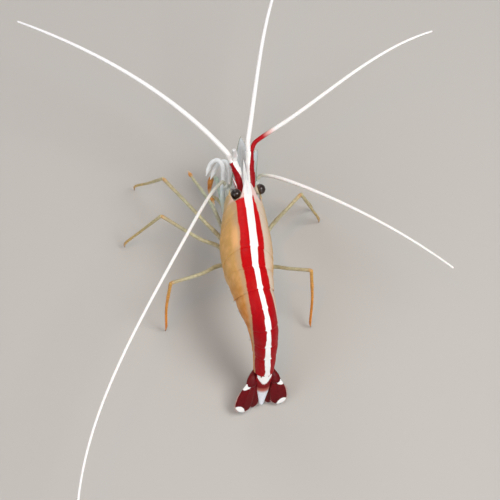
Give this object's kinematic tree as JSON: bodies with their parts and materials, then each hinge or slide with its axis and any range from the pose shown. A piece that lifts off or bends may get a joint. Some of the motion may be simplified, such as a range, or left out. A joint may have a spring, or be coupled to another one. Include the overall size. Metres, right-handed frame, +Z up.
{
  "type": "cleaner shrimp model",
  "caption": "Life-size still model of a cleaner shrimp standing on its walking legs, with an arched abdomen and long white feelers.",
  "frame": {"origin": "on the floor, below the middle of the box round the whole animal", "axes": "+Z up, +Y the way the animal faces, +X to its right"},
  "size_m": [0.0866, 0.099, 0.0541],
  "materials": {
    "shell": "thin glossy shell: white stripe down the middle of the back between two scarlet bands, over tan translucent flanks",
    "tail_fan": "dark crimson glossy blades with white spots and white tips",
    "clear_shell": "translucent pale grey-green shell",
    "eye": "polished black with an olive lower rim",
    "eyestalk": "pale translucent flesh",
    "feeler": "opaque white, finely ringed",
    "leg": "translucent olive tan, darker at the joints",
    "mouth_limb": "white and pale blue-white, glossy"
  },
  "bodies": {
    "root": {"carapace": "shell", "rostrum": "shell", "abdomen_1": "shell", "abdomen_2": "shell", "abdomen_3": "shell", "abdomen_4": "shell", "abdomen_5": "shell", "abdomen_6": "shell", "telson": "tail_fan", "uropod_base_left": "tail_fan", "uropod_outer_left": "tail_fan", "uropod_inner_left": "tail_fan", "uropod_base_right": "tail_fan", "uropod_outer_right": "tail_fan", "uropod_inner_right": "tail_fan", "pleopod_1_left": "clear_shell", "pleopod_1_right": "clear_shell", "pleopod_2_left": "clear_shell", "pleopod_2_right": "clear_shell", "pleopod_3_left": "clear_shell", "pleopod_3_right": "clear_shell", "pleopod_4_left": "clear_shell", "pleopod_4_right": "clear_shell", "pleopod_5_left": "clear_shell", "pleopod_5_right": "clear_shell", "eye_left": "eye", "eyestalk_left": "eyestalk", "eye_right": "eye", "eyestalk_right": "eyestalk", "antennule_base_left": "shell", "antenna_base_left": "clear_shell", "antennal_scale_left": "clear_shell", "antennule_base_right": "shell", "antenna_base_right": "clear_shell", "antennal_scale_right": "clear_shell", "antennule_outer_left": "feeler", "antennule_inner_left": "feeler", "antennule_outer_right": "feeler", "antennule_inner_right": "feeler", "antenna_right": "feeler", "antenna_left": "feeler", "maxilliped_left": "mouth_limb", "maxilliped_right": "mouth_limb", "pereiopod_1_left": "leg", "pereiopod_1_right": "leg", "pereiopod_2_left": "leg", "pereiopod_2_right": "leg", "pereiopod_3_left_thigh": "leg", "pereiopod_3_left_shank": "leg", "pereiopod_3_right_thigh": "leg", "pereiopod_3_right_shank": "leg", "pereiopod_4_left_thigh": "leg", "pereiopod_4_left_shank": "leg", "pereiopod_4_right_thigh": "leg", "pereiopod_4_right_shank": "leg", "pereiopod_5_left_thigh": "leg", "pereiopod_5_left_shank": "leg", "pereiopod_5_right_thigh": "leg", "pereiopod_5_right_shank": "leg"}
  },
  "joints": []
}
